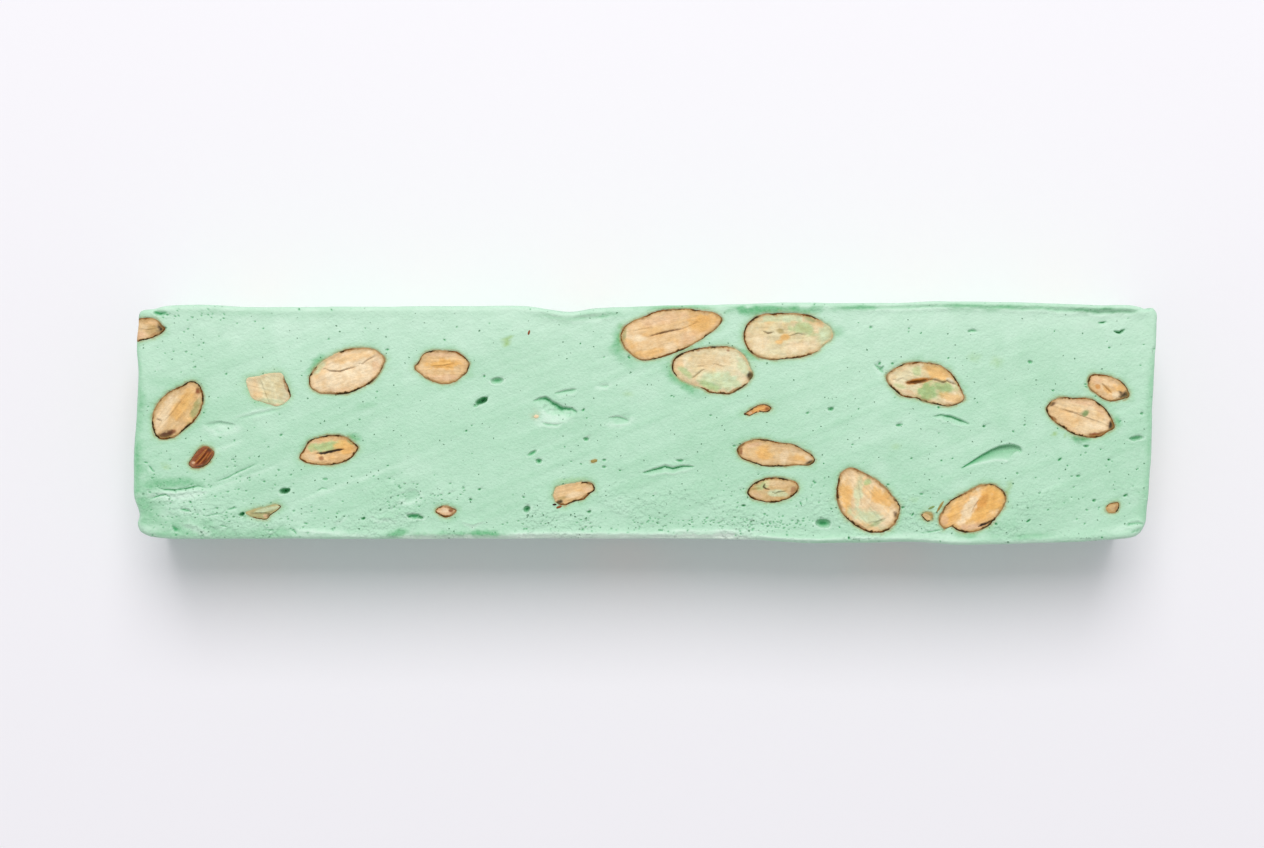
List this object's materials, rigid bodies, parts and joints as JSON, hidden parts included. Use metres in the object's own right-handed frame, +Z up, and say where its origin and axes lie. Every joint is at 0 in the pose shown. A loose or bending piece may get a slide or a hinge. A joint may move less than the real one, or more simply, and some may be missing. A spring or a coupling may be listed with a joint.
{
  "type": "nougat bar",
  "caption": "Oblong bar of mint-green nougat with whole almonds set through it and cut flush at its faces.",
  "frame": {"origin": "centre of the bar's flat underside", "axes": "+X along the bar's length, +Y across it to its back, +Z up through its thickness"},
  "size_m": [0.2046, 0.0486, 0.0253],
  "materials": {
    "nougat": "matt, slightly chalky mint-green nougat",
    "almond_flesh": "cut toasted almond, satin, cream to orange tan",
    "almond_pale": "broken pale almond, satin",
    "almond_skin": "brown almond skin, matt",
    "almond_toasted": "browned almond piece, satin"
  },
  "bodies": {
    "root": {"nougat": "nougat", "almond_01": "almond_flesh", "almond_02": "almond_flesh", "almond_03": "almond_flesh", "almond_04": "almond_flesh", "almond_05": "almond_flesh", "almond_06": "almond_flesh", "almond_07": "almond_flesh", "almond_08": "almond_flesh", "almond_09": "almond_flesh", "almond_10": "almond_flesh", "almond_11": "almond_flesh", "almond_12": "almond_flesh", "almond_13": "almond_flesh", "almond_14": "almond_flesh", "almond_15": "almond_flesh", "almond_16": "almond_flesh", "back_almond_1": "almond_flesh", "back_almond_2": "almond_flesh", "back_almond_3": "almond_flesh", "back_almond_4": "almond_flesh", "back_almond_5": "almond_flesh", "back_almond_6": "almond_flesh", "base_almond_1": "almond_flesh", "base_almond_2": "almond_flesh", "base_almond_3": "almond_flesh", "base_almond_4": "almond_flesh", "base_almond_5": "almond_flesh", "base_almond_6": "almond_flesh", "chip_01": "almond_skin", "chip_02": "almond_pale", "chip_03": "almond_flesh", "chip_04": "almond_flesh", "chip_05": "almond_toasted", "chip_06": "almond_flesh", "chip_07": "almond_flesh", "front_almond_1": "almond_flesh", "front_almond_2": "almond_flesh", "front_almond_3": "almond_flesh", "front_almond_4": "almond_flesh", "front_almond_5": "almond_flesh", "front_almond_6": "almond_flesh", "left_almond_1": "almond_flesh", "right_almond_1": "almond_flesh", "right_almond_2": "almond_flesh"}
  },
  "joints": []
}
